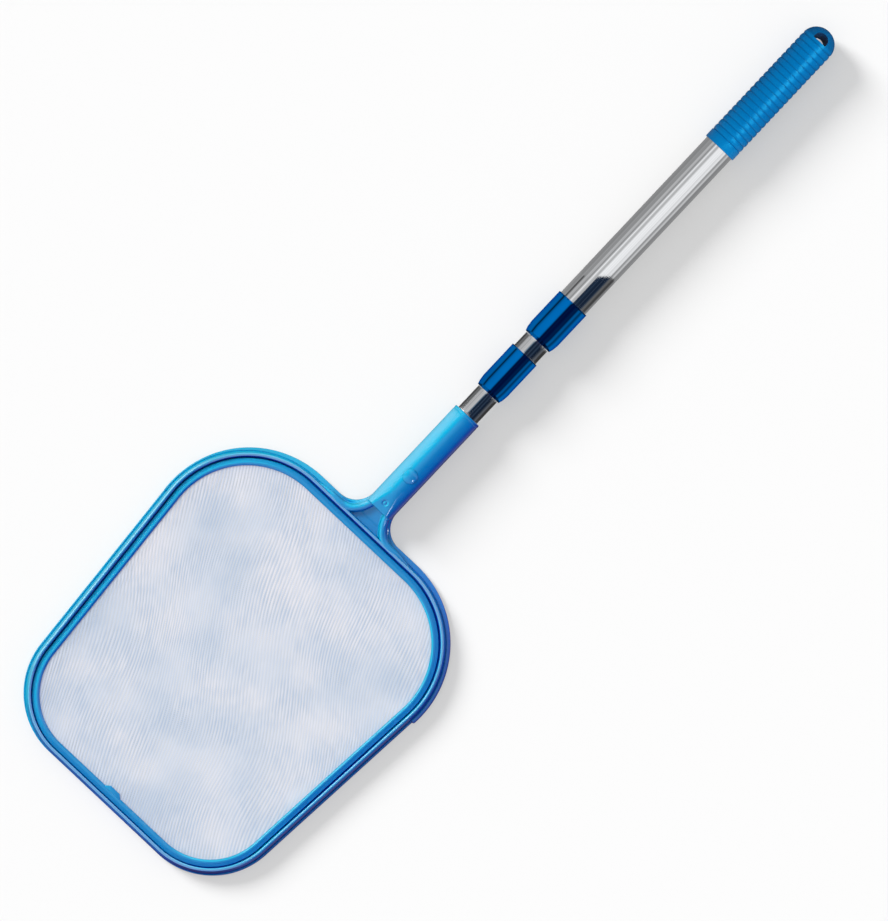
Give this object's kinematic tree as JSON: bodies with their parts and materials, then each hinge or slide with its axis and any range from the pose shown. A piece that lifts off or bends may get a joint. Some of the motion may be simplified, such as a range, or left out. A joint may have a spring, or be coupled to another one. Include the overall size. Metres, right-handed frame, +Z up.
{
  "type": "leaf skimmer net",
  "caption": "Flat leaf skimmer net with a rounded moulded rim, a yoke and socket with a release button, and a telescopic pole with twist locks and a ribbed hand grip.",
  "frame": {"origin": "on the floor under the middle of the closed tool, which lies flat", "axes": "+X along the pole from the net's front to the hand grip, +Y across the head, +Z up"},
  "size_m": [0.8928, 0.293, 0.031],
  "materials": {
    "head_plastic": "polypropylene, smooth moulded gloss",
    "collar_plastic": "ABS, smooth moulded gloss",
    "grip_plastic": "PVC, soft sheen",
    "net_fabric": "woven nylon mesh",
    "drawn_aluminium": "drawn and anodised, bright with fine lengthwise lines",
    "lock_plastic": "moulded nylon",
    "expander_plastic": "moulded acetal",
    "cone_brass": "turned",
    "screw_steel": "zinc plated",
    "spring_steel": "stainless strip"
  },
  "bodies": {
    "handle": {"outer_tube": "drawn_aluminium", "outer_end_plug": "lock_plastic", "hand_grip": "grip_plastic", "upper_collar": "collar_plastic"},
    "upper_brake": {"middle_expander": "expander_plastic"},
    "upper_cone": {"middle_cone_nut": "cone_brass"},
    "middle_pole": {"middle_tube": "drawn_aluminium", "middle_lock_plug": "lock_plastic", "middle_lock_screw": "screw_steel", "middle_keeper_nut": "screw_steel", "lower_collar": "collar_plastic"},
    "lower_brake": {"inner_expander": "expander_plastic"},
    "lower_cone": {"inner_cone_nut": "cone_brass"},
    "head": {"inner_tube": "drawn_aluminium", "inner_lock_plug": "lock_plastic", "inner_lock_screw": "screw_steel", "inner_keeper_nut": "screw_steel", "head_frame": "head_plastic", "net_clamp_ring": "head_plastic", "net": "net_fabric", "button_spring": "spring_steel"},
    "button": {"release_button": "head_plastic"}
  },
  "joints": [
    {"name": "upper_slide", "type": "slide", "parent": "handle", "child": "upper_brake", "axis": [-1, 0, 0], "range_m": [0, 0.25]},
    {"name": "upper_twist", "type": "hinge", "parent": "upper_brake", "child": "middle_pole", "pos_m": [0.37, 0, 0.0155], "axis": [-1, 0, 0], "range_deg": [0, 180]},
    {"name": "upper_cone_travel", "type": "slide", "parent": "upper_brake", "child": "upper_cone", "axis": [1, 0, 0], "range_m": [0, 0.0006]},
    {"name": "lower_slide", "type": "slide", "parent": "middle_pole", "child": "lower_brake", "axis": [-1, 0, 0], "range_m": [0, 0.25]},
    {"name": "lower_twist", "type": "hinge", "parent": "lower_brake", "child": "head", "pos_m": [0.3136, 0, 0.0155], "axis": [-1, 0, 0], "range_deg": [0, 180]},
    {"name": "lower_cone_travel", "type": "slide", "parent": "lower_brake", "child": "lower_cone", "axis": [1, 0, 0], "range_m": [0, 0.0006]},
    {"name": "button_press", "type": "slide", "parent": "head", "child": "button", "axis": [0, 0, -1], "range_m": [0, 0.0042], "stiffness_N_per_m": 1000, "springref_m": -0.004, "deforming": ["button_spring"]}
  ],
  "couplings": [
    {"joint": "upper_cone_travel", "follows": "upper_twist", "m_per_rad": 0.00015915},
    {"joint": "lower_cone_travel", "follows": "lower_twist", "m_per_rad": 0.00015915}
  ]
}
